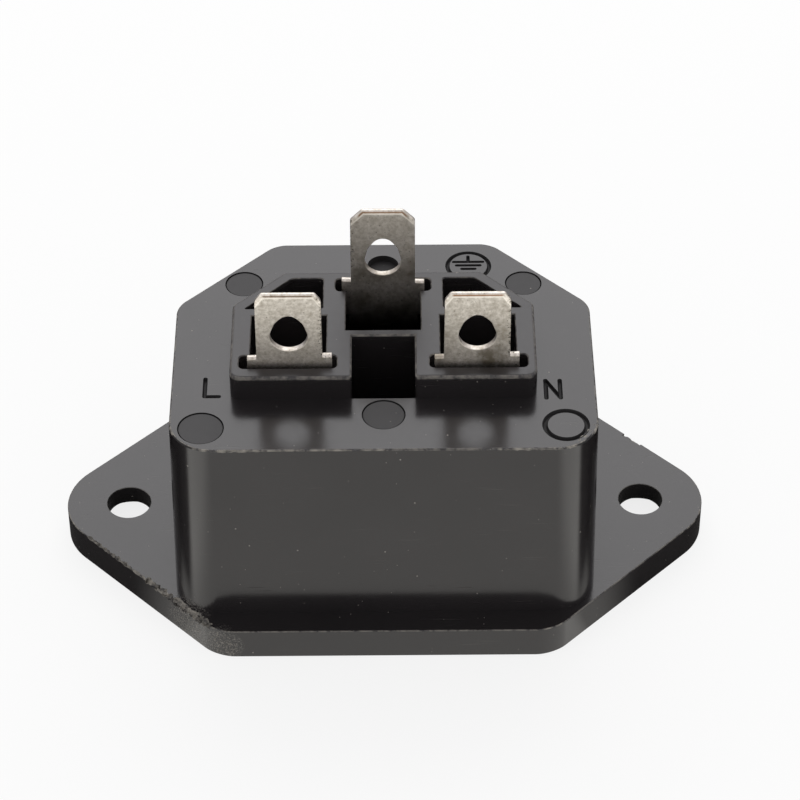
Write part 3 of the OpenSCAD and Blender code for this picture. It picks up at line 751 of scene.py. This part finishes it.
def channelPiece():
    c = contactSizes
    x, (low, high) = c["webWidth"] / 2, c["channel"]
    channel = addBox("channel", (-x, 0, low), (x, c["jawDepth"], high))
    bevelEdges(channel, lambda e: upright(e) and middleOf(e).y < 0.01, c["foldRadius"], 6)
    inside = addBox("inside", (c["sheet"] - x, c["sheet"], low - 1), (x - c["sheet"], c["jawDepth"] + 1, high + 1))
    bevelEdges(inside, lambda e: upright(e) and middleOf(e).y < c["sheet"] + 0.01, c["foldRadius"] - c["sheet"], 4)
    combine(channel, inside)
    return channel


def jawLeaf(side):       # leans in to grip the pin, then flares to guide it
    c = contactSizes
    x, low = c["webWidth"] / 2, c["channel"][0]
    xs = sorted((side * (x - c["sheet"]), side * x))
    leaf = addBox("leaf", (xs[0], c["foldRadius"] + 0.15, low), (xs[1], c["jawDepth"], low + 0.3))
    inner, height = x - c["sheet"], low
    choose(leaf, "FACE", lambda f: f.normal.z < -0.99)
    for reach, down in c["jaw"]:
        bpy.ops.mesh.extrude_region_move(TRANSFORM_OT_translate={"value": (side * (reach - inner), 0, down - height)})
        inner, height = reach, down
    bpy.ops.object.mode_set(mode="OBJECT")
    return leaf


def tangPiece():
    c = contactSizes
    wide, low, high = c["tang"]
    tang = addBox("tang", (-wide / 2, 0, low - 0.1), (wide / 2, c["sheet"], high))
    choose(tang, "VERT", lambda v: v.co.z > high - 0.01)
    bpy.ops.transform.translate(value=(0, -c["tangLean"], 0))
    bpy.ops.object.mode_set(mode="OBJECT")
    return tang


def buildContact(node, turned, cut, hole, metal):
    c = contactSizes
    low, high = nodeBox(node)
    seatTop, seatDown = nodeBox("housing")[1].z, housingSizes["seat"][2]
    contact = bladePlate(high.z, seatTop, cut)
    contact.name = node + "_sheet"
    combine(contact, shoulderBar(seatTop, seatDown), "UNION")
    half = c["webWidth"] / 2
    combine(contact, addBox("web", (-half, 0, c["channel"][1] - 1), (half, c["sheet"], seatTop - 1)), "UNION")
    combine(contact, holeCutter(seatTop + c["holeHeight"], hole))
    wide, windowLow, windowHigh = c["window"]
    combine(contact, addBox("window", (-wide / 2, -1, windowLow), (wide / 2, 1, windowHigh)))
    for part in (tangPiece(), channelPiece(), jawLeaf(-1), jawLeaf(1)):
        combine(contact, part, "UNION")
    applyModifier(contact, "BEVEL", limit_method="ANGLE", angle_limit=math.radians(40),
                  width=c["edge"], segments=3, use_clamp_overlap=False)
    paintBlade(contact, node, high.z, cut)
    choose(contact, "VERT", lambda v: True)
    if turned:
        bpy.ops.transform.resize(value=(-1, -1, 1), center_override=(0, 0, 0))
    back = high.y if turned else low.y + c["tangLean"]
    bpy.ops.transform.translate(value=((low.x + high.x) / 2, back - (c["tangLean"] if turned else 0), 0))
    bpy.ops.object.mode_set(mode="OBJECT")
    finishPiece(contact, metal, node)
    print(node, "done:", len(contact.data.polygons), "faces")


# ---- studio ----

studio = dict(
    floorRadius=0.6, floorWhite="#f7f7f7", floorGloss="#fffdf8", skyGloss="#fbf8fc", shadowShare=0.18,     # how much of the floor's own shading shows
    bounce=(1.1, 1.8), bounceAcross=(14, 24),       # floor's level in gloss, at the middle and further out, in mm
    skyFill=0.72, softbox=dict(azimuth=180, elevation=45, distance=0.5, size=(0.5, 0.34), power=1.0),
)


def anyRay(tree, *kinds):          # 1 for rays of any of these kinds
    path = addNode(tree, "LightPath")
    total = path.outputs[kinds[0]]
    for kind in kinds[1:]:
        total = addNode(tree, "Math", {"operation": "MAXIMUM"}, {0: total, 1: path.outputs[kind]}).outputs[0]
    return total


def whiteFloor():        # white paper with the part's shadow; its gloss darkens to both sides, past the flange
    pick(None)
    bpy.ops.mesh.primitive_circle_add(vertices=96, radius=studio["floorRadius"], fill_type="NGON")
    floor = bpy.context.object
    floor.name = "floor"
    m = newMaterial("paperSweep")
    place = addNode(m, "TexCoord").outputs["Object"]
    place = addNode(m, "VectorMath", {"operation": "SCALE"}, {0: place, "Scale": perMetre}).outputs[0]
    axes = addNode(m, "SeparateXYZ", {}, {0: place})
    x = addNode(m, "Math", {"operation": "ABSOLUTE"}, {0: axes.outputs["X"]}).outputs[0]
    y = axes.outputs["Y"]
    ahead = addNode(m, "Math", {"operation": "MULTIPLY_ADD"}, {0: x, 1: 0.4, 2: y}).outputs[0]
    ahead = addNode(m, "MapRange", {"interpolation_type": "SMOOTHSTEP"},
                    {"Value": ahead, "From Min": -6.5, "From Max": -3.5, "To Min": 1, "To Max": 0}).outputs[0]
    around = addNode(m, "Math", {"operation": "ABSOLUTE"}, {0: y}).outputs[0]
    around = addNode(m, "Math", {"operation": "ADD"}, {0: x, 1: around}).outputs[0]
    around = addNode(m, "MapRange", {"interpolation_type": "SMOOTHSTEP"},
                     {"Value": around, "From Min": 30, "From Max": 33, "To Min": 0.6, "To Max": 0.04}).outputs[0]
    front = addNode(m, "MapRange", {"interpolation_type": "SMOOTHSTEP"},
                    {"Value": y, "From Min": -11, "From Max": -7, "To Min": 1, "To Max": 0.08}).outputs[0]
    around = addNode(m, "Math", {"operation": "MULTIPLY"}, {0: around, 1: front}).outputs[0]
    low, high = studio["bounce"]
    out = addNode(m, "MapRange", {"interpolation_type": "SMOOTHSTEP"},
                  {"Value": x, "From Min": studio["bounceAcross"][0], "From Max": studio["bounceAcross"][1],
                   "To Min": low, "To Max": high}).outputs[0]
    ahead = addNode(m, "Math", {"operation": "MULTIPLY"}, {0: ahead, 1: out}).outputs[0]
    level = addNode(m, "Math", {"operation": "MAXIMUM"}, {0: ahead, 1: around}).outputs[0]
    # painted light: seen only in the part's gloss, the floor glows brighter than white in front, more further out, and
    # goes dark beside and behind the part
    gloss = addNode(m, "Emission", {}, {"Color": linear(studio["floorGloss"]), "Strength": level}).outputs[0]
    paper = addNode(m, "BsdfDiffuse", {}, {"Color": linear(studio["floorWhite"])}).outputs[0]
    white = addNode(m, "Emission", {}, {"Color": (1, 1, 1, 1), "Strength": 1}).outputs[0]
    seen = addNode(m, "MixShader", {}, {0: studio["shadowShare"], 1: white, 2: paper}).outputs[0]
    surface = addNode(m, "MixShader", {}, {0: anyRay(m, "Is Camera Ray", "Is Transmission Ray"), 1: paper, 2: seen})
    surface = addNode(m, "MixShader", {}, {0: anyRay(m, "Is Glossy Ray"), 1: surface.outputs[0], 2: gloss})
    addNode(m, "OutputMaterial", {}, {"Surface": surface.outputs[0]})
    floor.data.materials.append(m)


def areaLamp(name, azimuth, elevation, distance, size, power):
    az, el = math.radians(azimuth), math.radians(elevation)
    away = Vector((math.sin(az) * math.cos(el), -math.cos(az) * math.cos(el), math.sin(el)))
    bpy.ops.object.light_add(type="AREA", location=away * distance)
    lamp = bpy.context.object
    lamp.name = name
    lamp.rotation_mode = "QUATERNION"
    lamp.rotation_quaternion = away.to_track_quat("Z", "Y")
    lamp.data.shape = "RECTANGLE"
    lamp.data.size, lamp.data.size_y = size
    lamp.data.energy = power


def whiteWorld():
    world = bpy.data.worlds.new("studio")
    bpy.context.scene.world = world
    world.use_nodes = True
    world.node_tree.nodes.clear()
    seen = anyRay(world, "Is Camera Ray", "Is Glossy Ray", "Is Transmission Ray")
    level = addNode(world, "MapRange", {}, {"Value": seen, "To Min": studio["skyFill"], "To Max": 1})
    gloss = anyRay(world, "Is Glossy Ray")
    tint = addNode(world, "Mix", {"data_type": "RGBA"}, {0: gloss, 6: (1, 1, 1, 1), 7: linear(studio["skyGloss"])})
    sky = addNode(world, "Background", {}, {"Color": tint.outputs[2], "Strength": level.outputs[0]})
    addNode(world, "OutputWorld", {}, {"Surface": sky.outputs[0]})


placeCamera()
buildHousing(mouldedPlastic())
metal = platedBrass()
for node, turned in (("line_contact", False), ("neutral_contact", False), ("earth_contact", True)):
    cut, hole = ("earthTipCut", "earthHole") if turned else ("tipCut", "hole")
    buildContact(node, turned, contactSizes[cut], contactSizes[hole], metal)
whiteFloor()
areaLamp("backSoftbox", **studio["softbox"])
whiteWorld()
bpy.context.scene.view_settings.view_transform = "Standard"
